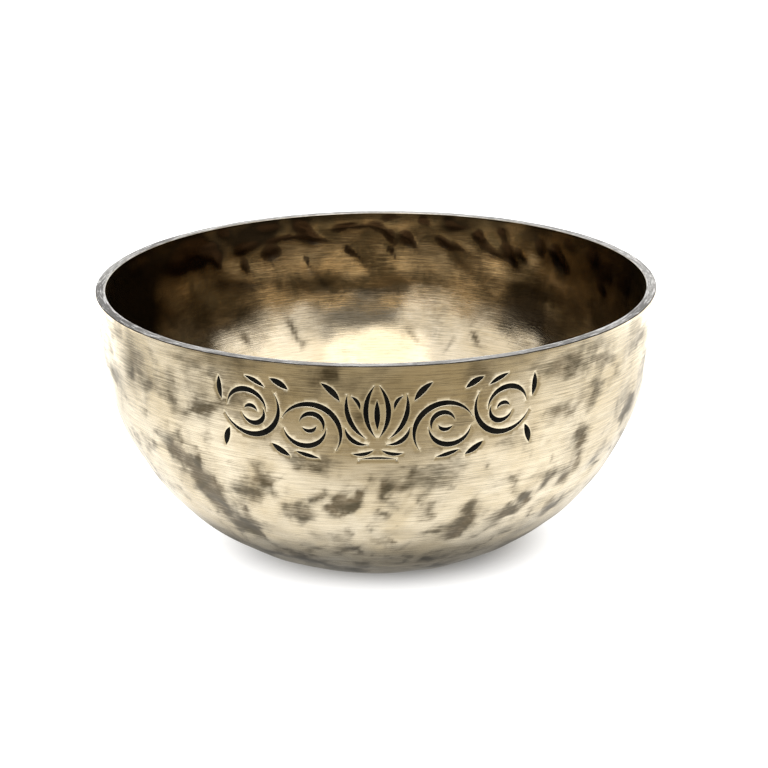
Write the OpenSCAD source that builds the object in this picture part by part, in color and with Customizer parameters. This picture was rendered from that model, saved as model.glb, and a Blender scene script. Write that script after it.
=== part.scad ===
// Singing bowl, hand-hammered bell bronze, with a black-filled engraved band
// Origin: centre of the flat base, on the surface the bowl stands on.
// +Z is up the bowl's axis. The engraving faces -Y.

/* [Bowl] */
// Outer diameter at the lip
bowl_d = 180; // [150:1:220]
// Overall height as a share of the diameter
height_ratio = 0.505; // [0.5:0.005:0.58]
// Diameter of the flat that the bowl stands on
base_d = 48; // [40:1:60]
// Angle at which the belly leaves the flat
base_angle = 8.5; // [6:0.5:12]
// Angle at which the belly turns into the nearly upright side
side_angle = 82; // [80:0.5:84]

/* [Wall and lip] */
// Thickness of the beaten wall
wall_t = 2.6; // [2:0.1:3.2]
// Width of the ground flat on top of the lip
lip_t = 3.1; // [2.6:0.1:4]
// Height of the upright band below the lip
lip_h = 3; // [2:0.5:5]
// Height over which the lip thickens inward
lip_taper = 7; // [5:0.5:12]
// Broken edge on the inside and outside of the lip
lip_chamfer = 0.3; // [0.2:0.05:0.5]

/* [Engraved band] */
// Distance from the lip down to the middle of the band
band_drop = 17; // [15:0.5:24]
// Scale of the ornament
band_scale = 1; // [0.8:0.05:1.05]
// Depth of the cut strokes, filled flush
cut_d = 0.6; // [0.3:0.1:0.9]

/* [Hidden] */
$fn = 128;

R = bowl_d / 2;
H = bowl_d * height_ratio;
base_r = base_d / 2;
band_z = H - band_drop;

// The outside is two arcs of circles that meet in tangent: the belly, from
// base_angle to side_angle, and the side, from side_angle to upright. Both
// radii follow from the diameter, the height and the flat.
run = R - base_r;
rise = H - lip_h;
m11 = sin(side_angle) - sin(base_angle);
m12 = 1 - sin(side_angle);
m21 = cos(base_angle) - cos(side_angle);
m22 = cos(side_angle);
det = m11 * m22 - m12 * m21;
belly_r = (run * m22 - rise * m12) / det;
side_r = (m11 * rise - m21 * run) / det;

belly_c = [base_r - belly_r * sin(base_angle), belly_r * cos(base_angle)];
side_c = [R - side_r, rise];
join_z = belly_c[1] - belly_r * cos(side_angle);

// Radius of the outside at the middle of the band, where strokes wrap round
band_r = side_c[0] + sqrt(pow(side_r, 2) - pow(side_c[1] - band_z, 2));

// Strokes of the right half of the ornament, mirrored for the left half.
// Each is [x0, y0, x1, y1, b1, b2]: the area between two arcs that both run
// from the first point to the second and rise b1 and b2 above the chord, on
// its left. x runs round the bowl and y runs up, from the band's middle.
HALF = [
    // lotus: middle petal, side petal and its fold, low petal, sepal
    [0.3, -5, 0.3, 11.6, -3.7, -2.1],
    [3.1, -5.2, 8.2, 8.8, -3.2, -1.6],
    [4.9, 3.8, 7.5, 8, 1.4, 0.2],
    [2.5, -7, 9.2, -1.6, -2.6, -1.1],
    [1, -8.7, 7.6, -9.8, -1.5, -0.2],
    // first scroll: over the top, under, and in to the bud
    [12.4, -9.6, 27.8, -0.4, 11.2, 9.3],
    [27.2, -2.4, 14.6, -1.6, 6.9, 5.1],
    [15.8, -3.2, 22.4, -0.8, 5.1, 3.4],
    [21.6, -2, 17.4, -1.4, 2.2, 0.8],
    // second scroll: the same, turned over
    [29.9, 8, 46, 0.2, -11.2, -9.3],
    [44.8, 2.2, 32.2, 1.4, -6.9, -5.1],
    [33.4, 3, 40, 0.6, -5.1, -3.4],
    [39.2, 1.8, 35, 1.2, -2.2, -0.8],
    // leaves between the scrolls, above and below
    [25.2, 8.9, 30.8, 12, 1.4, -0.7],
    [32.2, 9, 38.6, 12, 1.1, -0.5],
    [31.2, -8, 25.6, -11.8, 1.3, -0.8],
    [24.2, -9.8, 16.8, -11.8, 1, -0.5],
    // leaf over the first scroll
    [10.4, 6.2, 15.8, 11.8, 1.5, -0.5],
    // finial
    [44.6, -5, 46.8, -11.4, 1.4, -0.7],
    [46.6, 3.4, 47, 10.8, -1.4, 0.5],
];
// Strokes that lie on the middle line
MIDDLE = [
    [0, -2.4, 0, 7, 0.9, -0.9],
    [-5.8, -11.8, 5.8, -11.8, 0.9, 0.05],
];

function mirrored(s) = [-s[0], s[1], -s[2], s[3], -s[4], -s[5]];
STROKES = concat(HALF, [for (s = HALF) mirrored(s)], MIDDLE);

// One circle through both ends of a chord of length c, rising b above it
module bow(c, b) {
    r = (c * c / 4 + b * b) / (2 * abs(b));
    translate([c / 2, b - sign(b) * r]) circle(r);
}

// The pointed stroke between two such arcs
module stroke(s) {
    c = norm([s[2] - s[0], s[3] - s[1]]);
    b1 = max(abs(s[4]), abs(s[5])) == abs(s[4]) ? s[4] : s[5];
    b2 = b1 == s[4] ? s[5] : s[4];
    translate([s[0], s[1]])
        rotate(atan2(s[3] - s[1], s[2] - s[0]))
            if (b1 * b2 < 0) intersection() { bow(c, b1); bow(c, b2); }
            else difference() { bow(c, b1); bow(c, b2); }
}

// A stroke as a blade that stands across the wall, turned to its place
module blade(s) {
    xm = (s[0] + s[2]) / 2;
    turn = xm * band_scale / band_r * 180 / PI;
    rotate([0, 0, turn])
        translate([0, -R + 12, band_z])
            rotate([90, 0, 0])
                linear_extrude(height = 16)
                    scale(band_scale)
                        translate([-xm, 0])
                            stroke(s);
}

// Half section of the solid outside, drawn in by t
module outside_section(t = 0) {
    // belly
    intersection() {
        translate([0, t]) square([R + 1, join_z - t]);
        translate(belly_c) circle(belly_r - t);
    }
    // side
    intersection() {
        translate([0, join_z]) square([R + 1, rise - join_z]);
        translate(side_c) circle(side_r - t);
    }
    // upright band
    translate([0, rise]) square([R - t, lip_h]);
}

// Half section of the hollow
module inside_section() {
    difference() {
        union() {
            outside_section(wall_t);
            translate([0, H - 1]) square([R - wall_t, 2]);
        }
        // the lip thickens inward
        polygon([
            [R - wall_t + 0.01, H - lip_taper],
            [R - lip_t, H - 1],
            [R - lip_t, H - lip_chamfer],
            [R - lip_t + lip_chamfer, H],
            [R - lip_t + lip_chamfer, H + 2],
            [R + 1, H + 2],
            [R + 1, H - lip_taper]
        ]);
    }
}

module bowl() {
    color([0.72, 0.6, 0.4])
    difference() {
        rotate_extrude() difference() {
            outside_section();
            inside_section();
            // broken outer edge of the lip
            polygon([[R - lip_chamfer, H], [R, H - lip_chamfer], [R + 1, H - lip_chamfer], [R + 1, H + 1], [R - lip_chamfer, H + 1]]);
        }
        // the cut strokes, down to a floor that follows the wall
        for (s = STROKES) difference() {
            blade(s);
            core();
        }
    }
}

// All that lies deeper than the cut strokes, near the band
module core() {
    rotate_extrude() outside_section(cut_d);
}

// Black filling of the cut strokes, flush with the wall
module engraving_fill() {
    color([0.05, 0.045, 0.04])
    for (s = STROKES) intersection() {
        blade(s);
        rotate_extrude() difference() {
            outside_section();
            outside_section(cut_d);
        }
    }
}

bowl();
engraving_fill();
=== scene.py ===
import bpy
import math
import numpy as np
from mathutils import Matrix, Vector
from mathutils.geometry import delaunay_2d_cdt


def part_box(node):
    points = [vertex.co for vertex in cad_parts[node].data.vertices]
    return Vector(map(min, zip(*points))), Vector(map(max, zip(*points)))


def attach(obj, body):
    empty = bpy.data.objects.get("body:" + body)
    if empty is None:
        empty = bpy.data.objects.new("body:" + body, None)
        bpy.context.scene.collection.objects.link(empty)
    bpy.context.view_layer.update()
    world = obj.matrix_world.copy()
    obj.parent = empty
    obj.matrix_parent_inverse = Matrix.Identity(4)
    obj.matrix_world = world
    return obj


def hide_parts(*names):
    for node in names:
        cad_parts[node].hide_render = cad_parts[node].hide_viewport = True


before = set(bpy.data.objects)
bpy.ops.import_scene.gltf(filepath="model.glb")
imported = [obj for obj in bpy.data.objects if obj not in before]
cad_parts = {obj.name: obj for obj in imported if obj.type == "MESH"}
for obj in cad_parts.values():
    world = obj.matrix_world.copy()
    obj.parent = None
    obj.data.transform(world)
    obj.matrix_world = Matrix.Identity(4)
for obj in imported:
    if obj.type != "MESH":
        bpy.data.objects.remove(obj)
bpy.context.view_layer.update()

MM = 0.001

# ---------------------------------------------------------------- the bowl's sizes, in mm, as in the CAD part
bowl_lo, bowl_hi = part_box("bowl")
R = (bowl_hi[0] - bowl_lo[0]) / 2 / MM
H = (bowl_hi[2] - bowl_lo[2]) / MM
BASE_R, BASE_A, SIDE_A = 24.0, math.radians(8.5), math.radians(82.0)
WALL, LIP_T, LIP_H, LIP_TAPER, CHAMFER = 2.6, 3.1, 3.0, 7.0, 0.3
BAND_Z = H - 17.0
run, rise = R - BASE_R, H - LIP_H
m11, m12 = math.sin(SIDE_A) - math.sin(BASE_A), 1 - math.sin(SIDE_A)
m21, m22 = math.cos(BASE_A) - math.cos(SIDE_A), math.cos(SIDE_A)
det = m11 * m22 - m12 * m21
BELLY_R = (run * m22 - rise * m12) / det
SIDE_R = (m11 * rise - m21 * run) / det
BC = (BASE_R - BELLY_R * math.sin(BASE_A), BELLY_R * math.cos(BASE_A))
SC = (R - SIDE_R, rise)
BAND_R = SC[0] + math.sqrt(SIDE_R ** 2 - (SC[1] - BAND_Z) ** 2)


def profile(t, inside):
    """The half section from the axis to the lip, drawn in by t, as points (r, z)."""
    pts = []
    a0 = math.acos((BC[1] - t) / (BELLY_R - t))
    r0 = BC[0] + (BELLY_R - t) * math.sin(a0)
    for r in np.linspace(0, r0, 60, endpoint=False):
        pts.append((r, t))
    for a in np.linspace(a0, SIDE_A, 240, endpoint=False):
        pts.append((BC[0] + (BELLY_R - t) * math.sin(a), BC[1] - (BELLY_R - t) * math.cos(a)))
    for a in np.linspace(SIDE_A, math.pi / 2, 60):
        pts.append((SC[0] + (SIDE_R - t) * math.sin(a), SC[1] - (SIDE_R - t) * math.cos(a)))
    for z in np.linspace(rise, H, 16)[1:]:
        pts.append((R - t, z))
    p = np.array(pts)
    if inside:  # the lip thickens inward
        f = np.clip((p[:, 1] - (H - LIP_TAPER)) / (LIP_TAPER - 1), 0, 1)
        p[:, 0] -= (LIP_T - WALL) * f * f * (3 - 2 * f)
    return p


def arc_length(p):
    return np.concatenate([[0], np.cumsum(np.hypot(*np.diff(p, axis=0).T))])


def resample(p, step):
    s = arc_length(p)
    n = int(round(s[-1] / step))
    q = np.linspace(0, s[-1], n + 1)
    return np.stack([np.interp(q, s, p[:, 0]), np.interp(q, s, p[:, 1])], 1)


def soften(p, sigma, step=0.25):
    """The same line with its corners eased over about sigma mm, ends kept."""
    q = resample(p, step)
    k = int(4 * sigma / step)
    g = np.exp(-0.5 * (np.arange(-k, k + 1) * step / sigma) ** 2)
    g /= g.sum()
    left = np.stack([-q[k:0:-1, 0], q[k:0:-1, 1]], 1)  # mirrored across the axis
    right = 2 * q[-1] - q[-2:-k - 2:-1]
    pad = np.concatenate([left, q, right])
    return np.stack([np.convolve(pad[:, i], g, "valid") for i in (0, 1)], 1)


OUT = soften(profile(0.0, False), 2.2)
OUT[:, 1] -= OUT[:, 1].min()
INN = soften(profile(WALL, True), 2.2)
OUT_S, INN_S = arc_length(OUT), arc_length(INN)


def normals(p):
    d = np.gradient(p, axis=0)
    d /= np.linalg.norm(d, axis=1)[:, None]
    return np.stack([d[:, 1], -d[:, 0]], 1)  # away from the axis and down


OUT_N, INN_N = normals(OUT), -normals(INN)


def at(s, table_s, table):
    return np.stack([np.interp(s, table_s, table[:, 0]), np.interp(s, table_s, table[:, 1])], -1)


# ---------------------------------------------------------------- smooth noise, and the marks of the hammer
class Noise:
    """Smooth random field over 3-D points in mm, between about -1 and 1."""

    def __init__(self, seed, size, octaves=3, waves=28):
        g = np.random.default_rng(seed)
        self.k, self.p, self.a = [], [], []
        for o in range(octaves):
            d = g.normal(size=(waves, 3))
            d /= np.linalg.norm(d, axis=1)[:, None]
            self.k.append(d * (2 * math.pi / size) * (2 ** o) * g.uniform(0.7, 1.3, (waves, 1)))
            self.p.append(g.uniform(0, 2 * math.pi, waves))
            self.a.append(0.55 ** o)

    def __call__(self, x):
        out = 0
        for k, p, a in zip(self.k, self.p, self.a):
            out = out + a * np.sin(x @ k.T + p).sum(1) / math.sqrt(len(p) / 2)
        return out / 1.6


def smooth(e0, e1, x):
    t = np.clip((x - e0) / (e1 - e0), 0, 1)
    return t * t * (3 - 2 * t)


def stamp(th, s, r, marks, power=2.0):
    """Sum of hammer marks at points (angle th, arc length s, radius r). Each mark is
    [angle, arc length, half length, half width, tilt, amount]: tilt turns the long side
    from the horizontal towards the lip, all in mm and radians."""
    total = np.zeros_like(th)
    order = np.argsort(s)
    ss = s[order]
    for a, s0, la, lb, tilt, amount in marks:
        reach = 2.6 * max(la, lb)
        i0, i1 = np.searchsorted(ss, [s0 - reach, s0 + reach])
        idx = order[i0:i1]
        du = (th[idx] - a + math.pi) % (2 * math.pi) - math.pi
        du = du * r[idx]
        keep = np.abs(du) < reach
        idx, du = idx[keep], du[keep]
        dv = s[idx] - s0
        c, n = math.cos(tilt), math.sin(tilt)
        x, y = (c * du + n * dv) / la, (-n * du + c * dv) / lb
        q = np.sqrt(x * x + y * y)
        total[idx] += amount * np.exp(-q ** power)
    return total


def scatter(g, s0, s1, row, gap, table_s, table, jitter=0.35):
    """Places along rings between arc lengths s0 and s1: (angle, s)."""
    out = []
    n = max(1, int(round((s1 - s0) / row)))
    for i in range(n):
        s = s0 + (i + 0.5) * (s1 - s0) / n
        r = float(np.interp(s, table_s, table[:, 0]))
        m = max(3, int(round(2 * math.pi * r / gap)))
        ph = g.uniform(0, 1)
        for j in range(m):
            out.append(((j + ph + g.uniform(-jitter, jitter)) * 2 * math.pi / m - math.pi, s + g.uniform(-jitter, jitter) * row))
    return out


# Marks given one by one: [azimuth, arc length from the base's middle, half length, half width, tilt, depth of tone],
# in degrees and mm. Azimuth -90 is the front.
OUT_SET = [
    [-143, 142, 6.4, 6, 85, 0.5], [-146, 133.5, 5.2, 3.9, -20, 0.5], [-139, 131.5, 3.5, 1.6, -5, 0.45], [-132, 139, 6.4, 2.6, 85, 0.35],
    [-132, 128.5, 3.2, 1.8, -30, 0.6], [-127, 127.5, 5.6, 2.1, 25, 0.85], [-121, 132.5, 6.9, 2.3, 30, 0.8], [-116, 132, 3.3, 2.5, 75, 0.55],
    [-115, 146, 2.5, 2.1, 10, 0.35], [-143, 121.5, 2.2, 1.9, -25, 0.4], [-144, 109.5, 3.4, 3.3, -50, 0.4], [-134, 111, 4.5, 3.8, -45, 0.6],
    [-130, 118, 2.7, 2.6, -60, 0.4], [-130, 109.5, 1.2, 1.5, -40, 0.6], [-128, 107, 2.7, 2.6, -65, 0.7], [-128, 102, 3.8, 3.6, -70, 0.7],
    [-128, 95, 4.7, 5.1, -60, 0.65], [-126, 89.5, 4, 4.7, -55, 0.65], [-114, 112, 3, 2.4, -55, 0.55], [-112, 109.5, 3, 1.7, -15, 0.5],
    [-117, 101.5, 3.2, 2.1, -5, 0.6], [-120, 95.5, 3.5, 1.9, -85, 0.5], [-122, 84.5, 3.8, 3.3, -55, 0.6], [-121, 82, 2.2, 2.6, -45, 0.7],
    [-130, 78, 2.7, 4.8, -80, 0.5], [-107, 100.5, 2.7, 3.6, -35, 0.6], [-106, 95.5, 3.5, 1.7, 20, 0.5], [-103, 117.5, 3.7, 2.5, -20, 0.55],
    [-99, 115.5, 4.2, 2, 15, 0.4], [-102, 106, 2, 1.8, -20, 0.5], [-95, 106, 2.7, 1.9, 65, 0.8], [-96, 103, 2.1, 1.6, 15, 0.6],
    [-98, 100.5, 3.5, 2, 70, 0.75], [-93, 110, 3.4, 1.3, 50, 0.4], [-91, 95.5, 1.5, 1.9, 0, 0.5], [-91, 91.5, 1.5, 1.3, 0, 0.6],
    [-98, 85, 4.1, 2.3, -80, 0.6], [-97, 78, 1.8, 2.2, 5, 0.7], [-107, 77.5, 2.1, 2.4, -10, 0.6], [-92, 75.5, 1.8, 1.6, 0, 0.7],
    [-104, 81.5, 1.6, 1.6, 10, 0.4], [-87, 110.5, 3.2, 2.2, 0, 0.45], [-89, 116.5, 4.8, 2.4, 0, 0.3], [-87, 105.5, 3.5, 1, 0, 0.4],
    [-89, 82.5, 1, 1.6, 0, 0.6], [-86, 79, 3, 1.8, -5, 0.5], [-83, 81.5, 1.2, 1.3, -10, 0.5], [-79, 99, 3.9, 1.8, 90, 0.65],
    [-79, 87.5, 4.1, 2.2, 40, 0.5], [-71, 91, 7.3, 2.9, 75, 0.8], [-72, 85.5, 2.5, 2.4, 45, 0.8], [-71, 98.5, 3.3, 2.7, 75, 0.6],
    [-67, 112.5, 4.8, 2.6, 0, 0.35], [-71, 116, 4.2, 2, -10, 0.35], [-63, 106.5, 3.5, 2.4, 35, 0.55], [-61, 102.5, 2, 1.3, 75, 0.5],
    [-62, 93.5, 4.3, 2.4, 20, 0.6], [-57, 96, 2.3, 1.5, 65, 0.6], [-63, 86.5, 3.6, 3.6, 25, 0.6], [-58, 80.5, 2.3, 2.7, 10, 0.5],
    [-52, 102, 1.5, 2.3, 45, 0.7], [-51, 104.5, 1.9, 1.4, 75, 0.5], [-54, 106, 4, 1.4, 5, 0.4], [-47, 99.5, 1.2, 1.9, 35, 0.5],
    [-45, 104.5, 3.1, 2, 85, 0.7], [-45, 109, 2.4, 1.8, 85, 0.6], [-53, 128, 3.8, 1.7, 0, 0.65], [-44, 118, 2.5, 2.1, 20, 0.6],
    [-47, 128, 7.8, 2.8, 10, 0.5], [-46, 115, 3.7, 2.3, 40, 0.45], [-47, 141, 3, 3.7, 45, 0.5], [-54, 141.5, 5.9, 2.1, -10, 0.3],
    [-61, 143.5, 4.2, 2.1, -10, 0.3], [-69, 142, 3.7, 2.4, -10, 0.35], [-39, 142.5, 2.3, 2.2, 40, 0.4], [-32, 125, 4.3, 3.1, 35, 0.3],
    [-47, 85.5, 2.8, 2.9, 55, 0.5], [-45, 86.5, 2.5, 2.5, 50, 0.4], [-43, 91.5, 3.5, 2, 20, 0.4], [-42, 131.5, 4.3, 1.6, 5, 0.4],
    [-87, 142.5, 8.4, 2.1, 0, 0.3], [-98, 144.5, 7.1, 2.4, 0, 0.35], [-124, 142, 4.6, 1.8, 10, 0.25], [-73, 67.5, 4.9, 3, 0, 0.4],
    [-112, 69.5, 4.1, 2.8, 5, 0.5],
]
INN_SET = [
    [82, 133.5, 3.2, 1.5, 50, 1], [86, 134, 2.6, 1.1, 50, 0.8], [86, 128.5, 2.3, 1.1, 60, 0.7], [78, 140.5, 2.2, 1.3, 60, 0.7],
    [73, 133, 3, 1.4, 35, 0.9], [69, 131.5, 3.7, 1.2, 30, 0.5], [69, 127, 4.1, 1.6, 40, 0.35], [64, 136, 2.2, 1.6, 55, 0.95],
    [61, 131.5, 3.9, 1.4, 20, 0.6], [56, 131, 4, 1.7, 50, 0.9], [53, 132, 2.6, 1.1, 45, 0.7], [58, 139, 2.5, 1.7, 65, 0.6],
    [70, 140, 4.6, 1.5, 5, 0.5], [86, 142, 3.7, 1.1, 0, 0.6], [89, 138, 3.7, 1.5, 20, 0.6], [97, 138.5, 5.6, 1.3, -5, 0.7],
    [96, 129, 3.4, 0.9, 50, 0.8], [93, 124, 3.4, 0.9, 50, 0.4], [108, 139.5, 4.3, 1.5, 45, 0.8], [105, 134.5, 4.2, 1.3, 15, 0.8],
    [117, 141, 4.3, 1.5, 0, 0.6], [112, 136, 5.8, 0.8, 0, 0.7], [123, 134.5, 4, 1.9, -10, 0.8], [116, 131.5, 3.2, 2.4, 25, 0.8],
    [107, 126, 2.7, 0.9, 65, 0.6], [104, 121, 3.8, 1.5, 55, 0.35], [123, 127.5, 2.8, 1, 60, 0.7], [129, 142, 3.1, 1.5, 35, 0.7],
    [136, 135.5, 5.7, 2.9, 10, 0.9], [131, 131.5, 2.7, 1.3, 70, 0.8], [134, 138.5, 3.7, 1.4, 10, 0.7], [143, 134.5, 3.2, 4.1, -85, 0.9],
    [140, 140.5, 4.7, 1.9, -5, 0.5], [159, 140.5, 7, 2.7, 0, 0.7], [47, 135.5, 3.6, 1.8, 70, 0.6], [41, 132.5, 4.5, 1.9, 45, 0.85],
    [43, 136.5, 2.2, 1.9, 45, 0.5], [30, 138.5, 3.1, 2.9, 40, 0.7], [26, 128.5, 3.2, 1.4, 40, 0.8], [24, 134, 3.8, 3.1, 45, 0.6],
    [15, 134, 3.9, 4.6, 55, 0.7], [13, 141, 4.2, 2.5, 20, 0.5], [38, 140, 3, 2, 45, 0.5], [79, 118.5, 7.5, 1.9, 5, 0.3],
    [88, 116.5, 7.5, 2.3, 0, 0.35], [102, 117, 11.4, 2.2, 5, 0.3], [122, 121.5, 10.4, 1.5, 10, 0.25], [47, 120.5, 12, 2.6, 5, 0.3],
]
FLOOR_SET = [
    [112, 101.5, 4.5, 0.8, 65, 0.4], [110, 95, 2.2, 1.1, -50, 0.3], [63, 98.5, 2.7, 0.8, 55, 0.5], [126, 101, 3.1, 1, 55, 0.35],
    [80, 97, 3.8, 0.9, 55, 0.25], [70, 95, 2.6, 1, -55, 0.3],
]


SO, SI = OUT_S[-1], INN_S[-1]
g = np.random.default_rng(5)


def placed(rows, gain, size=1.0):
    return [[math.radians(a), s, la * size, lb * size, math.radians(t), d * gain] for a, s, la, lb, t, d in rows]


def free_of(marks, lo, hi, s_lo, s_hi):
    """Leaves out the marks inside a window of azimuth and arc length, where marks are listed."""
    return [m for m in marks if not (math.radians(lo) < m[0] < math.radians(hi) and s_lo < m[1] < s_hi)]


# broad facets of the outside, over the belly and the side
out_facets = [[a, s, g.uniform(4.5, 8), g.uniform(3.5, 5.5), g.uniform(-0.5, 0.9), g.uniform(0.12, 0.5)]
              for a, s in scatter(g, 26, SO - 7, 9, 11.5, OUT_S, OUT)]
# narrower marks that hold the patina
out_marks = [[a, s, g.uniform(2.4, 6), g.uniform(1.5, 3.4), g.uniform(-1.2, 1.2), g.uniform(0.3, 0.85)]
             for a, s in scatter(g, 68, SO - 8, 11, 14, OUT_S, OUT, 0.5) if g.uniform() < 0.8]
out_marks = free_of(out_marks, -152, -38, 64, 200)
out_marks += placed(OUT_SET, 1.0, 1.1)
out_stains = [[a, s, la * 1.14, lb * 1.2, t, d] for a, s, la, lb, t, d in out_marks]
g_small = np.random.default_rng(17)
out_stains += [[a, s, g_small.uniform(1.2, 2.6), g_small.uniform(0.9, 1.6), g_small.uniform(-1.4, 1.4), g_small.uniform(0.15, 0.6)]
               for a, s in scatter(g_small, 66, 124, 5.5, 7.0, OUT_S, OUT, 0.5) if g_small.uniform() < 0.55]
inn_facets = [[a, s, g.uniform(5, 8), g.uniform(4, 6.5), g.uniform(-0.5, 0.9), g.uniform(0.05, 0.3)]
              for a, s in scatter(g, 30, SI - 5, 10, 13, INN_S, INN)]
inn_marks = [[a, s, g.uniform(2.2, 4.2), g.uniform(1.0, 1.9), g.uniform(0.4, 1.2), g.uniform(0.5, 1)]
             for a, s in scatter(g, SI - 26, SI - 3, 8, 9.5, INN_S, INN, 0.45) if g.uniform() < 0.8]
inn_marks += [[a, s, g.uniform(4, 8), g.uniform(1.2, 2.4), g.uniform(-0.2, 0.9), g.uniform(0.2, 0.4)]
              for a, s in scatter(g, SI - 55, SI - 20, 11, 16, INN_S, INN, 0.45) if g.uniform() < 0.6]
inn_marks = free_of(inn_marks, 8, 172, 60, 200)
inn_marks = [m for m in inn_marks if math.sin(m[0]) > -0.5 or m[1] < SI - 13]
inn_marks += placed(INN_SET, 1.0, 1.1)
# each stain has a round dark head and a thinner tail; the faint ones are soft clouds
inn_stains = []
for a, s, la, lb, t, d in inn_marks:
    if d < 0.45:
        continue
    for way, long, wide, tone in ((0.4, 0.75, 1.45, 1.15), (-0.55, 0.9, 0.85, 0.85)):
        inn_stains.append([a + way * la * math.cos(t) / 87, s + way * la * math.sin(t), la * long, lb * wide, t, d * tone])
inn_clouds_and_shade = [[a, s, la * 1.3, lb * 1.3, t, d] for a, s, la, lb, t, d in inn_marks if d < 0.45]
inn_clouds_and_shade += [[a, s, la, max(lb, 1.3), t, d] for a, s, la, lb, t, d in placed(FLOOR_SET, 1.7, 1.2)]
# large dark clouds, darkest on the left and right inside walls and along the lip: partly patina, partly painted shade
inn_clouds_and_shade += placed([[163, 127, 24, 17, 0, 1.25], [140, 138, 10, 7, 10, 0.7], [168, 105, 24, 14, 0, 0.62], [20, 130, 16, 14, 0, 0.22], [8, 116, 20, 16, 0, 0.22], [132, 118, 17, 14, 0, 0.6], [50, 119, 15, 10, 0, 0.22], [122, 140, 16, 7, 0, 0.45], [100, 143, 16, 4, 0, 0.3], [45, 141, 20, 6, 0, 0.25], [70, 143, 16, 4, 0, 0.3], [88, 121, 13, 4.5, 40, 0.4], [66, 124, 14, 5, 40, 0.45], [103, 117, 15, 6, 0, 0.25], [34, 116, 10, 17, 0, 0.55], [27, 126, 12, 12, 0, 0.15]], 1.0)

wob_out, wob_inn, pat_big, pat_mid, pat_in = Noise(11, 60, 2), Noise(12, 60, 2), Noise(13, 42, 2), Noise(14, 15, 3), Noise(15, 20, 3)
warp_a, warp_b = Noise(31, 9, 3), Noise(32, 9, 3)


def outside(th, s):
    """Place of points of the outer skin, in mm, with sharp marks (none here) and a tone that is partly patina, partly
    painted shade.
    """
    p, n = at(s, OUT_S, OUT), at(s, OUT_S, OUT_N)
    n /= np.linalg.norm(n, axis=-1)[:, None]
    r = np.maximum(p[:, 0], 1e-6)
    x0 = np.stack([r * np.cos(th), r * np.sin(th), p[:, 1]], 1)
    edge = smooth(SO - 1.5, SO - 9, s)
    foot = smooth(20, 36, s)
    du = ((th + math.pi / 2 + math.pi) % (2 * math.pi) - math.pi) * BAND_R
    band = smooth(54, 46, np.abs(du)) * smooth(BAND_Z - 18, BAND_Z - 11, p[:, 1])
    f = stamp(th, s, r, out_facets) * (1 - 0.6 * band)
    m = stamp(th, s, r, out_marks, 2.0)
    depth = (f + 0.3 * np.minimum(m, 1.2) * (1 - 0.6 * band)) * edge * foot
    depth = depth + (0.16 + 0.12 * wob_out(x0)) * foot * edge
    q = p - n * depth[:, None]
    # the patina's edges wander a little off the dents'
    tw, sw = th + 1.7 * warp_a(x0) / np.maximum(r, 20), s + 1.5 * warp_b(x0)
    mp = stamp(tw, sw, r, out_stains, 1.7)
    dark = np.minimum(mp, 1.1) * (0.85 + 0.2 * smooth(118, 104, s)) + 0.34 * smooth(-0.2, 0.8, 0.8 * pat_mid(x0) + 0.6 * pat_big(x0))
    # darker towards the base: a painted reflection of the shadowed floor under the bowl; the darker clouds over the
    # upper side are painted shade
    dark = dark + 0.4 * smooth(80, 64, s) + 0.25 * smooth(-0.3, 0.8, pat_big(x0 * 1.3)) * smooth(84, 110, s)
    return q, np.zeros_like(dark), np.clip(dark, 0, 1)


def inside(th, s):
    p, n = at(s, INN_S, INN), at(s, INN_S, INN_N)
    n /= np.linalg.norm(n, axis=-1)[:, None]
    r = np.maximum(p[:, 0], 1e-6)
    x0 = np.stack([r * np.cos(th), r * np.sin(th), p[:, 1]], 1)
    edge = smooth(SI - 1.0, SI - 5, s)
    foot = smooth(16, 45, s)
    f = stamp(th, s, r, inn_facets)
    m = stamp(th, s, r, inn_marks, 2.0)
    depth = (f * foot + 0.5 * np.minimum(m, 1.2)) * edge + 0.1 * wob_inn(x0) * foot * edge
    q = p - n * depth[:, None] * 0.9
    tw, sw = th + 0.5 * warp_a(x0) / np.maximum(r, 20), s + 0.4 * warp_b(x0)
    mp = np.minimum(stamp(tw, sw, r, inn_stains, 2.0), 1.2)
    cl = stamp(tw, sw, r, inn_clouds_and_shade, 2.2)
    dark = mp * 0.3 + cl + 0.14 * smooth(0.0, 0.9, pat_in(x0)) * foot
    back_wall_shade = 0.35 + 0.65 * smooth(-0.4, 0.3, np.sin(th))  # the darkening below is full on the back wall and about a third as strong on the front wall: painted shade
    # darker towards the lip inside: partly patina, partly painted shade
    dark = dark + (0.46 * smooth(SI - 62, SI - 26, s) + 0.52 * smooth(SI - 20, SI - 5, s)) * back_wall_shade
    return q, mp, np.clip(dark, 0, 1.7)


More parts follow.
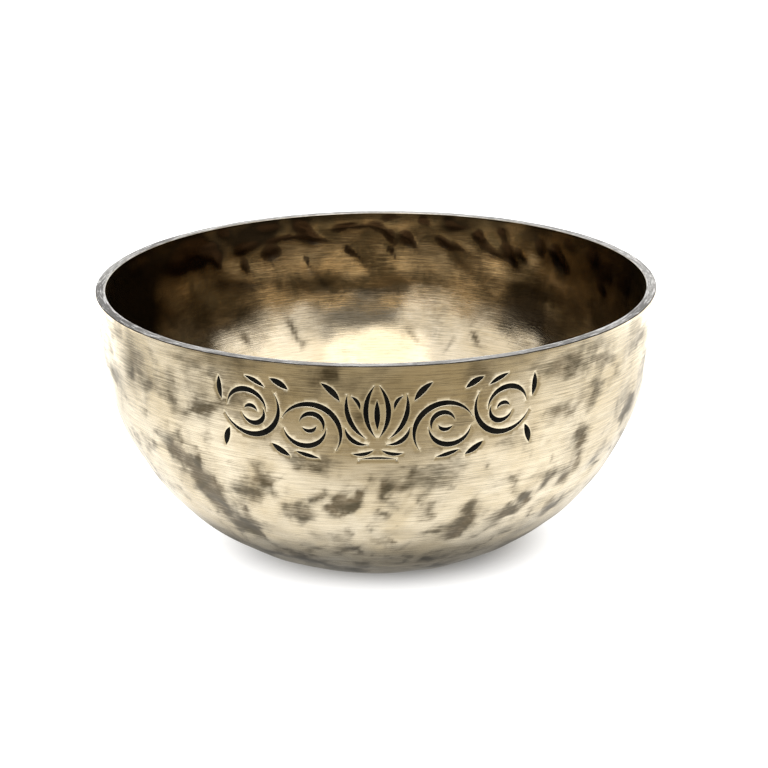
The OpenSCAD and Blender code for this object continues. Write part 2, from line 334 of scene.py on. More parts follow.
# ---------------------------------------------------------------- the ornament, as in the CAD part: [x0, y0, x1, y1, b1, b2]
HALF = [
    [0.3, -5, 0.3, 11.6, -3.7, -2.1],
    [3.1, -5.2, 8.2, 8.8, -3.2, -1.6],
    [4.9, 3.8, 7.5, 8, 1.4, 0.2],
    [2.5, -7, 9.2, -1.6, -2.6, -1.1],
    [1, -8.7, 7.6, -9.8, -1.5, -0.2],
    [12.4, -9.6, 27.8, -0.4, 11.2, 9.3],
    [27.2, -2.4, 14.6, -1.6, 6.9, 5.1],
    [15.8, -3.2, 22.4, -0.8, 5.1, 3.4],
    [21.6, -2, 17.4, -1.4, 2.2, 0.8],
    [29.9, 8, 46, 0.2, -11.2, -9.3],
    [44.8, 2.2, 32.2, 1.4, -6.9, -5.1],
    [33.4, 3, 40, 0.6, -5.1, -3.4],
    [39.2, 1.8, 35, 1.2, -2.2, -0.8],
    [25.2, 8.9, 30.8, 12, 1.4, -0.7],
    [32.2, 9, 38.6, 12, 1.1, -0.5],
    [31.2, -8, 25.6, -11.8, 1.3, -0.8],
    [24.2, -9.8, 16.8, -11.8, 1, -0.5],
    [10.4, 6.2, 15.8, 11.8, 1.5, -0.5],
    [44.6, -5, 46.8, -11.4, 1.4, -0.7],
    [46.6, 3.4, 47, 10.8, -1.4, 0.5],
]
MIDDLE = [[0, -2.4, 0, 7, 0.9, -0.9], [-5.8, -11.8, 5.8, -11.8, 0.9, 0.05]]
STROKES = HALF + [[-s[0], s[1], -s[2], s[3], -s[4], -s[5]] for s in HALF] + MIDDLE


class Stroke:
    def __init__(self, s):
        x0, y0, x1, y1, b1, b2 = s
        if abs(b2) > abs(b1):
            b1, b2 = b2, b1
        self.c = math.hypot(x1 - x0, y1 - y0)
        self.o, self.a = np.array([x0, y0]), math.atan2(y1 - y0, x1 - x0)
        self.b = (b1, b2)
        self.circ = []
        for b in self.b:
            rad = (self.c ** 2 / 4 + b * b) / (2 * abs(b))
            self.circ.append((self.c / 2, b - math.copysign(rad, b), rad))
        self.lens = b1 * b2 < 0

    def arc(self, i, t):
        cx, cy, rad = self.circ[i]
        b = self.b[i]
        half = 2 * math.atan2(2 * abs(b), self.c)
        w = (2 * t - 1) * half
        return np.stack([cx + rad * np.sin(w), cy + math.copysign(1, b) * rad * np.cos(w)], 1)

    def place(self, p):
        c, n = math.cos(self.a), math.sin(self.a)
        return self.o + np.stack([p[:, 0] * c - p[:, 1] * n, p[:, 0] * n + p[:, 1] * c], 1)

    def reach(self, xy):
        """Distances from points to the two arcs, positive inside."""
        c, n = math.cos(-self.a), math.sin(-self.a)
        d = xy - self.o
        x, y = d[:, 0] * c - d[:, 1] * n, d[:, 0] * n + d[:, 1] * c
        (ax, ay, ar), (bx, by, br) = self.circ
        da = ar - np.hypot(x - ax, y - ay)
        db = np.hypot(x - bx, y - by) - br
        return da, (-db if self.lens else db)

    def line(self, share, step):
        """A closed line inside the outline, in by up to share mm."""
        n = max(10, int(self.c * 1.6 / step))
        t = np.linspace(0, 1, n + 1)
        if share > 0:
            t = 0.035 + 0.93 * t
        A, B = self.arc(0, t), self.arc(1, t)
        w = np.linalg.norm(A - B, axis=1)[:, None] + 1e-9
        f = np.minimum(0.3, share / w)
        A, B = A + (B - A) * f, B + (A - B) * f
        if share > 0:
            p = np.concatenate([A, B[::-1]])
        else:
            p = np.concatenate([A, B[-2:0:-1]])
        return self.place(p)


strokes = [Stroke(s) for s in STROKES]
BEVEL = 0.1


def inness(xy):
    """0 outside every stroke, rising to 1 at the foot of its bevel."""
    q = np.full(len(xy), -1.0)
    for st in strokes:
        da, db = st.reach(xy)
        lim = np.maximum(np.minimum(BEVEL, 0.3 * (da + db)), 1e-4)
        v = np.where((da > -1e-4) & (db > -1e-4), np.minimum(da, db) / lim, -1)
        q = np.maximum(q, v)
    return q


# ---------------------------------------------------------------- rows and columns of the mesh
COLS = 450


def row_places(end, steps):
    """Arc lengths from 0 to end. Each entry of steps is [up to this arc length, step]."""
    rows = [0.0]
    while rows[-1] < end:
        rows.append(rows[-1] + next(d for lim, d in steps if rows[-1] < lim))
    return np.array(rows) * (end - CHAMFER) / rows[-1]


out_rows = row_places(SO, [[22, 3.0], [62, 2.3], [SO - 8, 1.5], [SO - 1.2, 0.9], [999, 0.6]])
inn_rows = row_places(SI, [[28, 3.0], [78, 2.3], [SI - 34, 1.5], [SI - 1.2, 0.9], [999, 0.6]])

theta = -math.pi / 2 + np.arange(COLS) * 2 * math.pi / COLS  # column 0 faces -Y
verts, attr = [], {"arc": [], "patina_and_shade": [], "mark": [], "lip": [], "cut": []}
faces = []


count = 0


def put(p, arc, mark, patina_and_shade, lip=0.0, cut=0.0):
    global count
    i = count
    verts.append(p)
    for k, v in (("arc", arc), ("mark", mark), ("patina_and_shade", patina_and_shade), ("lip", lip), ("cut", cut)):
        attr[k].append(np.broadcast_to(np.asarray(v, float), (len(p),)).copy())
    count += len(p)
    return i


def ring_points(rz, th):
    return np.stack([rz[:, 0] * np.cos(th), rz[:, 0] * np.sin(th), rz[:, 1]], 1)


# outer skin
rings = []  # first vertex of each ring, from the base's middle round over the lip to the floor's middle
S, T = np.meshgrid(out_rows[1:], theta, indexing="ij")
q, mark, dark = outside(T.ravel(), S.ravel())
base = put(np.array([[0, 0, OUT[0, 1]]]), 0, 0, 0.3)
start = put(ring_points(q, T.ravel()), S.ravel(), mark, dark)
outer_rings = [start + i * COLS for i in range(len(out_rows) - 1)]
# the ground lip: rounded edges and a slightly uneven inner edge
lip_noise = Noise(21, 18, 2)
edge_pts = ring_points(np.full((COLS, 2), R), theta)
uneven = 0.1 * lip_noise(edge_pts)
way = (theta + math.radians(150) + math.pi) % (2 * math.pi) - math.pi
lip_tone_and_shade = 0.25 + 0.7 * np.exp(-(way / 0.65) ** 2) + 0.28 * np.exp(-((way - 2.0) / 0.45) ** 2)  # painted shade: darker towards the front-left and the front-right
# random tone on top of the painted shade
lip_tone_and_shade = np.clip(lip_tone_and_shade + 0.25 * Noise(22, 40, 2)(edge_pts), 0, 1)
qo = q[-COLS:]
inn_S, inn_T = np.meshgrid(inn_rows[::-1][:-1], theta, indexing="ij")
qi, marki, darki = inside(inn_T.ravel(), inn_S.ravel())
qi0 = qi[:COLS]
lip_rings = []
for k in range(1, 4):  # outer rounded edge
    w = k / 3 * math.pi / 2
    rz = np.stack([qo[:, 0] - CHAMFER * (1 - math.cos(w)), H - CHAMFER * (1 - math.sin(w)) + 0 * qo[:, 0]], 1)
    # the first two rings round the outer edge get 1.5, which the material turns near-black: a painted shade line along
    # the lip's outer edge
    lip_rings.append(put(ring_points(rz, theta), SO, 0, 1.5 if k < 3 else lip_tone_and_shade, 1.0 if k == 3 else 0.0))
for f in (0.2, 0.5, 0.8):
    r = (qo[:, 0] - CHAMFER) * (1 - f) + (qi0[:, 0] + CHAMFER + uneven) * f
    lip_rings.append(put(ring_points(np.stack([r, H + 0 * r], 1), theta), SO + 3 * f, 0, lip_tone_and_shade, 1))
for k in range(0, 3):  # inner rounded edge
    w = k / 3 * math.pi / 2
    rz = np.stack([qi0[:, 0] + uneven * (1 - k / 3) + CHAMFER * (1 - math.sin(w)), H - CHAMFER * (1 - math.cos(w)) + 0 * qi0[:, 0]], 1)
    # the inner rounded edge gets 0, the lightest lip grey: a painted highlight along the lip's inner edge
    lip_rings.append(put(ring_points(rz, theta), SO + 3, 0, 0.0, 1.0 if k < 2 else 0.4))
start = put(ring_points(qi, inn_T.ravel()), 400 - inn_S.ravel(), marki, darki)
inner_rings = [start + i * COLS for i in range(len(inn_rows) - 1)]
floor_mid = put(np.array([[0, 0, INN[0, 1]]]), 400, 0, 0.2)

# the patch that carries the ornament
half_cols = int(50.5 / (2 * math.pi * BAND_R / COLS)) + 1
zrow = np.array([q[i * COLS:(i + 1) * COLS, 1].mean() for i in range(len(out_rows) - 1)])
row0 = int(np.searchsorted(zrow, BAND_Z - 14)) - 1
row1 = int(np.searchsorted(zrow, BAND_Z + 13))
patch_cols = [c % COLS for c in range(-half_cols, half_cols + 1)]


def in_patch(i, j):
    jj = (j + half_cols) % COLS
    return row0 <= i < row1 and jj < 2 * half_cols


def quads(ra, rb, skip=None):
    for j in range(COLS):
        if skip is not None and in_patch(skip, j):
            continue
        k = (j + 1) % COLS
        faces.append((ra + j, ra + k, rb + k, rb + j))


for j in range(COLS):
    faces.append((base, outer_rings[0] + (j + 1) % COLS, outer_rings[0] + j))
for i in range(len(outer_rings) - 1):
    quads(outer_rings[i], outer_rings[i + 1], i)
chain = [outer_rings[-1]] + lip_rings + inner_rings
for a, b in zip(chain[:-1], chain[1:]):
    quads(a, b)
for j in range(COLS):
    faces.append((inner_rings[-1] + j, inner_rings[-1] + (j + 1) % COLS, floor_mid))

# patch border, in (x round the bowl, arc length)
border = []
for j in range(-half_cols, half_cols + 1):
    border.append((row0, j))
for i in range(row0 + 1, row1 + 1):
    border.append((i, half_cols))
for j in range(half_cols - 1, -half_cols - 1, -1):
    border.append((row1, j))
for i in range(row1 - 1, row0, -1):
    border.append((i, -half_cols))
ustep = 2 * math.pi / COLS * BAND_R
border_xy = [(j * ustep, out_rows[1:][i]) for i, j in border]
border_id = [outer_rings[i] + (j % COLS) for i, j in border]
pts = list(border_xy)
edges = [(i, (i + 1) % len(border)) for i in range(len(border))]
zs = OUT[:, 1] + np.arange(len(OUT)) * 1e-9


def to_param(xy):
    """(x round the bowl, y up from the band's middle) to (x, arc length)."""
    return np.stack([xy[:, 0], np.interp(xy[:, 1] + BAND_Z, zs, OUT_S)], 1)


def to_xy(us):
    return np.stack([us[:, 0], np.interp(us[:, 1], OUT_S, OUT[:, 1]) - BAND_Z], 1)


loops = []
for st in strokes:
    for share in (0, BEVEL):
        loops.append(st.line(share, 0.42))
for lp in loops:
    us = to_param(lp)
    i0 = len(pts)
    pts += [tuple(v) for v in us]
    edges += [(i0 + k, i0 + (k + 1) % len(lp)) for k in range(len(lp))]
# a grid of points between, kept off the lines
allp = np.array(pts[len(border):])
gx, gy = np.meshgrid(np.arange(-half_cols + 1, half_cols) * ustep, np.arange(out_rows[1 + row0] + 1.1, out_rows[1 + row1] - 0.5, 1.1))
gx = gx + (np.arange(gx.shape[0]) % 2)[:, None] * ustep * 0.5
grid = np.stack([gx.ravel(), gy.ravel()], 1)
grid = grid[np.abs(grid[:, 0]) < (half_cols - 0.4) * ustep]
cell = {}
for v in allp:
    cell.setdefault((int(v[0] // 1), int(v[1] // 1)), []).append(v)
kept = []
for v in grid:
    cx, cy = int(v[0] // 1), int(v[1] // 1)
    near = [w for a in (-1, 0, 1) for b in (-1, 0, 1) for w in cell.get((cx + a, cy + b), [])]
    if all((v[0] - w[0]) ** 2 + (v[1] - w[1]) ** 2 > 0.36 for w in near):
        kept.append(v)
pts += [tuple(v) for v in kept]
cv, ce, cf, ov, oe, of_ = delaunay_2d_cdt([Vector(p) for p in pts], edges, [], 0, 1e-5, True)
P = np.array([(v[0], v[1]) for v in cv])
tris = [tuple(f) for f in cf]
# the border's own vertices are the grid's
ident = {}
for k, orig in enumerate(ov):
    for o in orig:
        if o < len(border):
            ident[k] = border_id[o]
XY = to_xy(P)
ins = inness(XY)
cen = np.array([P[list(f)].mean(0) for f in tris])
cin = inness(to_xy(cen))
area = np.array([(P[f[1], 0] - P[f[0], 0]) * (P[f[2], 1] - P[f[0], 1]) - (P[f[1], 1] - P[f[0], 1]) * (P[f[2], 0] - P[f[0], 0]) for f in tris])
BEV_D, CUT_D = 0.07, 0.6
fill_tri = [cin[i] >= 0.93 and abs(area[i]) > 1e-7 for i in range(len(tris))]
th_p = -math.pi / 2 + P[:, 0] / BAND_R
qp, markp, darkp = outside(th_p, P[:, 1])
np_n = at(P[:, 1], OUT_S, OUT_N)
lift = np.clip(ins, 0, 1)
# metal: skin and bevels
skin = qp - np_n * (lift * BEV_D)[:, None]
cut_p = np.where(ins > -0.5, 1.0, 0.0)
pid = np.full(len(P), -1)
free = [k for k in range(len(P)) if k not in ident]
i0 = put(ring_points(skin[free], th_p[free]), P[free, 1], 0, darkp[free], 0.0, cut_p[free])
for n, k in enumerate(free):
    pid[k] = i0 + n
for k, v in ident.items():
    pid[k] = v
tris = [f if area[i] > 0 else (f[0], f[2], f[1]) for i, f in enumerate(tris)]
# where two parts of a groove would meet in one point only, the smaller part is left as metal
for _ in range(6):
    fans = {}
    for i, f in enumerate(tris):
        if fill_tri[i]:
            for v in f:
                fans.setdefault(v, []).append(i)
    drop = set()
    for v, around in fans.items():
        groups = []
        for i in around:
            near = set(tris[i]) - {v}
            hit = [g_ for g_ in groups if g_[0] & near]
            merged = (set.union(near, *[g_[0] for g_ in hit]), [i] + [t for g_ in hit for t in g_[1]])
            groups = [g_ for g_ in groups if g_ not in hit] + [merged]
        if len(groups) > 1:
            groups.sort(key=lambda g_: sum(abs(area[t]) for t in g_[1]))
            drop |= {t for g_ in groups[:-1] for t in g_[1]}
    if not drop:
        break
    for t in drop:
        fill_tri[t] = False
fill_v = sorted({v for i, f in enumerate(tris) if fill_tri[i] for v in f})
bottom = qp[fill_v] - np_n[fill_v] * CUT_D
i0 = put(ring_points(bottom, th_p[fill_v]), P[fill_v, 1], 0, 1)
pid_b = {v: i0 + n for n, v in enumerate(fill_v)}
edge_use = {}
for i, f in enumerate(tris):
    if fill_tri[i]:
        faces.append(tuple(pid_b[v] for v in f))
        for a, b in ((f[0], f[1]), (f[1], f[2]), (f[2], f[0])):
            edge_use[(a, b)] = edge_use.get((a, b), 0) + 1
    else:
        faces.append(tuple(int(pid[v]) for v in f))
rim_edges = [(a, b) for (a, b) in edge_use if (b, a) not in edge_use]
for a, b in rim_edges:
    faces.append((int(pid[a]), int(pid[b]), pid_b[b], pid_b[a]))


def build(name, v, f, data=None):
    me = bpy.data.meshes.new(name)
    me.from_pydata((v * MM).tolist(), [], f)
    me.validate()
    for k, a in (data or {}).items():
        at_ = me.attributes.new(k, "FLOAT", "POINT")
        at_.data.foreach_set("value", a.astype(np.float32))
    me.update()
    ob = bpy.data.objects.new(name, me)
    bpy.context.collection.objects.link(ob)
    me.polygons.foreach_set("use_smooth", [True] * len(me.polygons))
    return ob


V = np.concatenate(verts)
A = {k: np.concatenate(v) for k, v in attr.items()}
used = np.zeros(len(V), bool)
used[[v for f in faces for v in f]] = True
renum = np.cumsum(used) - 1
faces = [tuple(int(renum[v]) for v in f) for f in faces]
bowl = build("hammered_bowl", V[used], faces, {k: v[used] for k, v in A.items()})

# the lacquer: its face a little below the skin, its foot just off the groove's floor
ftop = qp[fill_v] - np_n[fill_v] * (BEV_D - 0.01 + 0.08 * smooth(1.0, 3.0, ins[fill_v]))[:, None]
fbot = qp[fill_v] - np_n[fill_v] * (CUT_D - 0.02)
top_id = {v: n for n, v in enumerate(fill_v)}
nf = len(fill_v)
ff = []
for i, f in enumerate(tris):
    if fill_tri[i]:
        ff.append(tuple(top_id[v] for v in f))
        ff.append(tuple(top_id[v] + nf for v in (f[0], f[2], f[1])))
for a, b in rim_edges:
    ff.append((top_id[b], top_id[a], top_id[a] + nf, top_id[b] + nf))
fv = np.concatenate([ring_points(ftop, th_p[fill_v]), ring_points(fbot, th_p[fill_v])])
fill = build("engraving_lacquer", fv, ff)

# ---------------------------------------------------------------- materials


def nodes(name):
    m = bpy.data.materials.new(name)
    m.use_nodes = True
    nt = m.node_tree
    nt.nodes.clear()
    out = nt.nodes.new("ShaderNodeOutputMaterial")
    b = nt.nodes.new("ShaderNodeBsdfPrincipled")
    nt.links.new(b.outputs[0], out.inputs[0])
    return m, nt, b


class N:
    def __init__(self, nt):
        self.nt = nt

    def new(self, kind, **kw):
        n = self.nt.nodes.new(kind)
        for k, v in kw.items():
            setattr(n, k, v)
        return n

    def link(self, a, b):
        self.nt.links.new(a, b)

    def val(self, sock, x):
        if isinstance(x, bpy.types.NodeSocket):
            self.link(x, sock)
        else:
            sock.default_value = x

    def math(self, op, a, b=0.0, c=0.0, clamp=False):
        n = self.new("ShaderNodeMath", operation=op, use_clamp=clamp)
        self.val(n.inputs[0], a)
        self.val(n.inputs[1], b)
        if len(n.inputs) > 2:
            self.val(n.inputs[2], c)
        return n.outputs[0]

    def ramp(self, x, e0, e1, a=0.0, b=1.0):
        n = self.new("ShaderNodeMapRange", interpolation_type="SMOOTHSTEP")
        self.val(n.inputs["Value"], x)
        for k, v in (("From Min", e0), ("From Max", e1), ("To Min", a), ("To Max", b)):
            self.val(n.inputs[k], v)
        return n.outputs[0]

    def mix(self, f, a, b, kind="MIX"):
        n = self.new("ShaderNodeMix", data_type="RGBA", blend_type=kind)
        self.val(n.inputs[0], f)
        for s, v in ((n.inputs[6], a), (n.inputs[7], b)):
            if isinstance(v, bpy.types.NodeSocket):
                self.link(v, s)
            else:
                s.default_value = (*v, 1.0)
        return n.outputs[2]

    def noise(self, vec, scale, detail=3.0, rough=0.5, dist=0.0, dims="3D"):
        n = self.new("ShaderNodeTexNoise", noise_dimensions=dims)
        self.link(vec, n.inputs["Vector"])
        n.inputs["Scale"].default_value = scale
        n.inputs["Detail"].default_value = detail
        n.inputs["Roughness"].default_value = rough
        n.inputs["Distortion"].default_value = dist
        return n.outputs[0]

    def attr(self, name):
        n = self.new("ShaderNodeAttribute", attribute_name=name, attribute_type="GEOMETRY")
        return n.outputs["Fac"]

    def combine(self, x, y, z):
        n = self.new("ShaderNodeCombineXYZ")
        for i, v in enumerate((x, y, z)):
            self.val(n.inputs[i], v)
        return n.outputs[0]


def bronze():
    m, nt, b = nodes("hammered_bronze")
    k = N(nt)
    tc = k.new("ShaderNodeTexCoord").outputs["Object"]
    sep = k.new("ShaderNodeSeparateXYZ")
    k.link(tc, sep.inputs[0])
    x, y, z = sep.outputs
    ang = k.math("ARCTAN2", y, x)
    arc = k.attr("arc")          # mm along the section
    patina_and_shade, mark, lip, cut = k.attr("patina_and_shade"), k.attr("mark"), k.attr("lip"), k.attr("cut")
    # hairlines run round the bowl: very long in angle, very fine along the section
    cs, sn = k.math("COSINE", ang), k.math("SINE", ang)
    hair = k.noise(k.combine(k.math("MULTIPLY", cs, 2.2), k.math("MULTIPLY", sn, 2.2), arc), 3.4, 4.0, 0.7)
    hair2 = k.noise(k.combine(k.math("MULTIPLY", cs, 14.0), k.math("MULTIPLY", sn, 14.0), k.math("MULTIPLY", arc, 2.2)), 1.6, 3.0, 0.6)
    lines = k.ramp(hair, 0.33, 0.67)
    inner = k.ramp(arc, 215.0, 235.0)
    fine = k.ramp(hair2, 0.35, 0.65)
    # slow colour change and fine grain
    cloud = k.noise(tc, 38.0, 4.0, 0.6, 0.6)
    grain = k.noise(tc, 420.0, 4.0, 0.6)
    blot = k.noise(tc, 110.0, 5.0, 0.62, 0.9)
    # the attribute carries patina and painted shade; noise and the hairlines add random tone
    pat = k.math("ADD", patina_and_shade, k.math("MULTIPLY", k.math("SUBTRACT", blot, 0.5), 0.75))
    pat = k.math("ADD", pat, k.math("MULTIPLY", k.math("SUBTRACT", lines, 0.5), 0.24))
    pat = k.math("ADD", pat, k.math("MULTIPLY", k.math("SUBTRACT", fine, 0.5), 0.1))
    bright = k.mix(k.ramp(cloud, 0.3, 0.7), (0.94, 0.825, 0.63), (0.73, 0.60, 0.395))
    dark = k.mix(k.ramp(blot, 0.3, 0.7), (0.165, 0.122, 0.070), (0.085, 0.070, 0.042))
    col = k.mix(k.ramp(pat, 0.08, 1.05), bright, dark)
    # the upper inside is browner
    col = k.mix(k.math("MULTIPLY", inner, k.ramp(arc, 278.0, 302.0, 1.0, 0.25)), col, (1.0, 0.915, 0.79), "MULTIPLY")
    # the lines themselves, worn bright and dull
    col = k.mix(k.math("MULTIPLY", lines, k.ramp(inner, 0.0, 1.0, 0.33, 0.25)), col, (0.13, 0.10, 0.06))
    col = k.mix(k.math("MULTIPLY", k.math("MULTIPLY", k.math("SUBTRACT", 1.0, fine), k.ramp(pat, 0.3, 1.0, 1.0, 0.2)), k.ramp(inner, 0.0, 1.0, 0.15, 0.2)), col, (0.95, 0.85, 0.66))
    # values above 1 turn near-black: painted shade with some patina inside near the lip and in the large inside clouds,
    # and the painted shade line along the lip's outer edge
    col = k.mix(k.ramp(patina_and_shade, 1.0, 1.5), col, (0.016, 0.012, 0.008))
    # compact dark marks
    spot = k.ramp(k.math("ADD", mark, k.math("MULTIPLY", k.math("SUBTRACT", blot, 0.5), 0.3)), 0.32, 0.50)
    col = k.mix(k.math("MULTIPLY", spot, k.ramp(mark, 0.35, 1.0, 0.6, 0.95)), col, (0.028, 0.017, 0.010))
    # the lip's grey follows the same values: lightest at the inner edge (painted highlight), darker towards the
    # front-left and front-right (painted shade), with random tone
    lipc = k.mix(patina_and_shade, (0.63, 0.62, 0.605), (0.15, 0.145, 0.14))
    scratch = k.noise(k.combine(k.math("MULTIPLY", cs, 16.0), k.math("MULTIPLY", sn, 16.0), k.math("MULTIPLY", arc, 1.5)), 1.0, 3.0, 0.65)
    lipc = k.mix(k.ramp(scratch, 0.40, 0.50, 0.75, 0.0), lipc, (0.20, 0.19, 0.18))
    lipc = k.mix(k.ramp(scratch, 0.53, 0.62, 0.0, 0.8), lipc, (0.96, 0.95, 0.93))
    col = k.mix(k.math("MULTIPLY", lip, 0.92), col, lipc)
    # burnished edges round the cut strokes
    col = k.mix(k.math("MULTIPLY", k.ramp(cut, 0.5, 0.95), 0.8), col, (0.95, 0.84, 0.62))
    k.link(col, b.inputs["Base Color"])
    k.link(k.math("SUBTRACT", 1.0, k.math("MULTIPLY", lip, 0.15)), b.inputs["Metallic"])
    rough = k.math("ADD", k.ramp(inner, 0.0, 1.0, 0.21, 0.08), k.math("MULTIPLY", lines, k.ramp(inner, 0.0, 1.0, 0.07, 0.03)))
    rough = k.math("ADD", rough, k.math("MULTIPLY", k.ramp(pat, 0.1, 1.0), 0.1))
    rough = k.math("ADD", rough, k.math("MULTIPLY", lip, 0.14))
    k.link(rough, b.inputs["Roughness"])
    b.inputs["Anisotropic"].default_value = 0.5
    tan = k.new("ShaderNodeTangent", direction_type="RADIAL", axis="Z")
    k.link(tan.outputs[0], b.inputs["Tangent"])
    h = k.math("ADD", k.math("MULTIPLY", hair, 0.7), k.math("MULTIPLY", hair2, 0.4))
    h = k.math("ADD", h, k.math("MULTIPLY", grain, 0.3))
    bump = k.new("ShaderNodeBump")
    bump.inputs["Strength"].default_value = 0.4
    bump.inputs["Distance"].default_value = 0.00006
    k.link(h, bump.inputs["Height"])
    k.link(bump.outputs[0], b.inputs["Normal"])
    return m


def lacquer():
    m, nt, b = nodes("black_lacquer")
    k = N(nt)
    tc = k.new("ShaderNodeTexCoord").outputs["Object"]
    n = k.noise(tc, 900.0, 4.0, 0.6)
    d = k.noise(tc, 220.0, 3.0, 0.5)
    k.link(k.mix(k.ramp(d, 0.35, 0.7), (0.0015, 0.0014, 0.0012), (0.007, 0.006, 0.004)), b.inputs["Base Color"])
    k.link(k.math("ADD", 0.5, k.math("MULTIPLY", n, 0.25)), b.inputs["Roughness"])
    b.inputs["Specular IOR Level"].default_value = 0.07
    bump = k.new("ShaderNodeBump")
    bump.inputs["Strength"].default_value = 0.5
    bump.inputs["Distance"].default_value = 0.00008
    k.link(n, bump.inputs["Height"])
    k.link(bump.outputs[0], b.inputs["Normal"])
    return m


bowl.data.materials.append(bronze())
fill.data.materials.append(lacquer())
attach(bowl, "root")
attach(fill, "root")
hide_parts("bowl")
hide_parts("engraving_fill")

# ---------------------------------------------------------------- floor, light and camera
def plane(name, z, size=6.0):
    me = bpy.data.meshes.new(name)
    me.from_pydata([(-size, -size, z), (size, -size, z), (size, size, z), (-size, size, z)], [], [(0, 1, 2, 3)])
    ob = bpy.data.objects.new(name, me)
    bpy.context.collection.objects.link(ob)
    return ob


# the floor that is seen: white and glowing, with a painted soft shadow where the glow fades out under the bowl
floor = plane("floor", -0.0003)
fm, fnt, fb = nodes("floor_white")
fb.inputs["Roughness"].default_value = 0.8
fb.inputs["Specular IOR Level"].default_value = 0.2
fb.inputs["Base Color"].default_value = (0.55, 0.55, 0.55, 1)
fb.inputs["Emission Color"].default_value = (1, 1, 1, 1)
k = N(fnt)
fsep = k.new("ShaderNodeSeparateXYZ")
k.link(k.new("ShaderNodeTexCoord").outputs["Object"], fsep.inputs[0])
wide = k.math("DIVIDE", k.math("SUBTRACT", fsep.outputs[0], 0.003), 1.35)
rr = k.math("SQRT", k.math("ADD", k.math("MULTIPLY", wide, wide), k.math("MULTIPLY", fsep.outputs[1], fsep.outputs[1])))
# painted shadow: no glow within 22 mm of the bowl's axis (stretched 1.35 times sideways), full glow beyond 50 mm
k.link(k.ramp(rr, 0.022, 0.050, 0.0, 1.0), fb.inputs["Emission Strength"])
floor.data.materials.append(fm)
floor.visible_glossy = False

# the table that the metal mirrors: a glowing plane seen only in reflections, a painted reflection of the floor, with a
# painted shadow round the bowl, white further out, greyer towards the front of the studio
table = plane("table", -0.0001)
tm, tnt, tb = nodes("table_white")
k = N(tnt)
fsep = k.new("ShaderNodeSeparateXYZ")
k.link(k.new("ShaderNodeTexCoord").outputs["Object"], fsep.inputs[0])
tx, ty = fsep.outputs[0], fsep.outputs[1]
rr = k.math("SQRT", k.math("ADD", k.math("MULTIPLY", tx, tx), k.math("MULTIPLY", ty, ty)))
side = k.math("MULTIPLY", k.ramp(tx, 0.12, 0.32, 1.0, 0.95), k.ramp(tx, -0.32, -0.12, 0.76, 1.0))
side = k.math("MAXIMUM", side, k.ramp(ty, 0.0, 0.2, 0.0, 2.1))
lit = k.ramp(ty, -0.190, -0.092)
side = k.math("MULTIPLY", side, k.ramp(k.math("ABSOLUTE", tx), 0.02, 0.09, 0.92, 1.06))
# painted shadow: the glow drops to 0.3 within about 54 mm of the bowl's axis and is full beyond 83 mm
glow_with_painted_shadow = k.math("MULTIPLY", k.ramp(rr, 0.054, 0.083, 0.3, 1.22), side)
tb.inputs["Base Color"].default_value = (0, 0, 0, 1)
tb.inputs["Roughness"].default_value = 1.0
tb.inputs["Specular IOR Level"].default_value = 0.0
k.link(k.mix(lit, (0.37, 0.325, 0.235), (1.0, 1.0, 0.98)), tb.inputs["Emission Color"])
k.link(glow_with_painted_shadow, tb.inputs["Emission Strength"])
table.data.materials.append(tm)
table.visible_camera = False
table.visible_diffuse = False
table.visible_shadow = False

world = bpy.data.worlds.new("studio")
bpy.context.scene.world = world
world.use_nodes = True
wn = world.node_tree
wn.nodes.clear()
k = N(wn)
wo = k.new("ShaderNodeOutputWorld")
bg = k.new("ShaderNodeBackground")
k.link(bg.outputs[0], wo.inputs[0])
sep = k.new("ShaderNodeSeparateXYZ")
k.link(k.new("ShaderNodeTexCoord").outputs["Generated"], sep.inputs[0])
# bright walls behind and at the sides near the horizon, two windows and a large soft light above the camera
dx, dy, dz = sep.outputs


def lerp(t, a, b):
    return k.math("ADD", k.math("MULTIPLY", k.math("SUBTRACT", 1.0, t), a), k.math("MULTIPLY", t, b))


def within(v, a0, a1, b1, b0):
    return k.math("MULTIPLY", k.ramp(v, a0, a1), k.ramp(v, b1, b0, 1.0, 0.0))


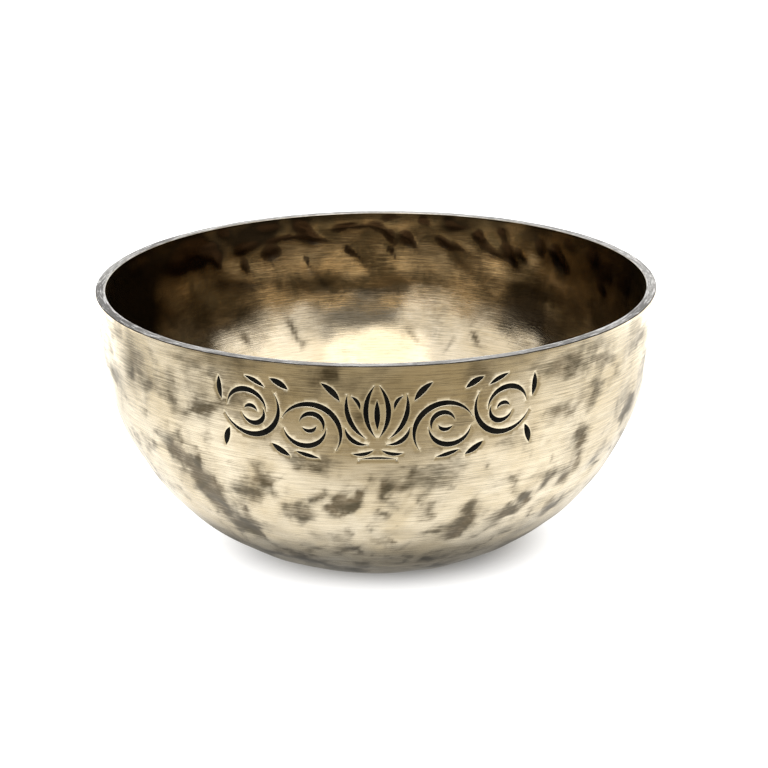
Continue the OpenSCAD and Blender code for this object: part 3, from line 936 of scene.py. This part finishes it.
back = k.math("MULTIPLY", dy, -1.0)
low = k.math("ADD", 1.1, k.ramp(dy, 0.0, 0.7, 0.0, 1.2))
low = k.math("MULTIPLY", low, k.ramp(back, 0.05, 0.6, 1.0, 0.28))
windows = k.math("ADD", 0.26, k.math("MULTIPLY", within(dx, 0.42, 0.46, 0.74, 0.86), 0.6))
windows = k.math("ADD", windows, k.math("MULTIPLY", within(dx, -0.68, -0.6, -0.23, -0.19), 0.75))
windows = k.math("ADD", windows, k.math("MULTIPLY", within(dx, -0.95, -0.85, -0.68, -0.6), 0.45))
top = k.math("ADD", 1.05, k.math("MULTIPLY", within(dx, -0.5, -0.3, 0.3, 0.5), 0.85))
top = k.math("ADD", top, k.math("MULTIPLY", within(dx, 0.3, 0.5, 0.8, 0.95), 0.35))
edge = k.ramp(k.math("ABSOLUTE", dx), 0.5, 0.8, 0.41, 0.22)
front_up = lerp(k.ramp(k.math("SUBTRACT", dz, edge), 0.0, 0.11), windows, top)
behind = k.math("ADD", 0.4, k.math("MULTIPLY", k.ramp(dy, 0.6, 0.85), k.ramp(dz, 0.45, 0.6, 0.7, 0.0)))
lev = lerp(k.ramp(dz, 0.07, 0.15), low, lerp(k.ramp(back, -0.15, 0.25), behind, front_up))
lev = lerp(k.ramp(dz, 0.9, 0.97), lev, 2.4)
lev = k.math("MAXIMUM", lev, k.ramp(k.math("ABSOLUTE", dx), 0.88, 0.96))
bg.inputs["Color"].default_value = (1, 1, 1, 1)
k.link(lev, bg.inputs["Strength"])

cam_d = bpy.data.cameras.new("camera")
cam = bpy.data.objects.new("camera", cam_d)
bpy.context.collection.objects.link(cam)
E, D, F = math.radians(15.92), 585.3, 1802.2
CX, CY, ROLL = 376.5, 277.2, math.radians(-0.48)
C = np.array([0, -D * math.cos(E), H + D * math.sin(E)])
pitch = E + math.atan(-(CY - 384) / F)
yaw = -math.atan((CX - 384) / F)
fwd = np.array([math.sin(yaw) * math.cos(pitch), math.cos(yaw) * math.cos(pitch), -math.sin(pitch)])
right = np.cross(fwd, [0, 0, 1])
right /= np.linalg.norm(right)
up = np.cross(right, fwd)
right, up = math.cos(ROLL) * right + math.sin(ROLL) * up, -math.sin(ROLL) * right + math.cos(ROLL) * up
mat = Matrix.Identity(4)
for i in range(3):
    mat[i][0], mat[i][1], mat[i][2], mat[i][3] = right[i], up[i], -fwd[i], C[i] * MM
cam.matrix_world = mat
cam_d.sensor_width = 36.0
cam_d.lens = 36.0 * F / 768
cam_d.clip_start, cam_d.clip_end = 0.01, 50
bpy.context.scene.camera = cam
bpy.context.scene.view_settings.view_transform = "Standard"
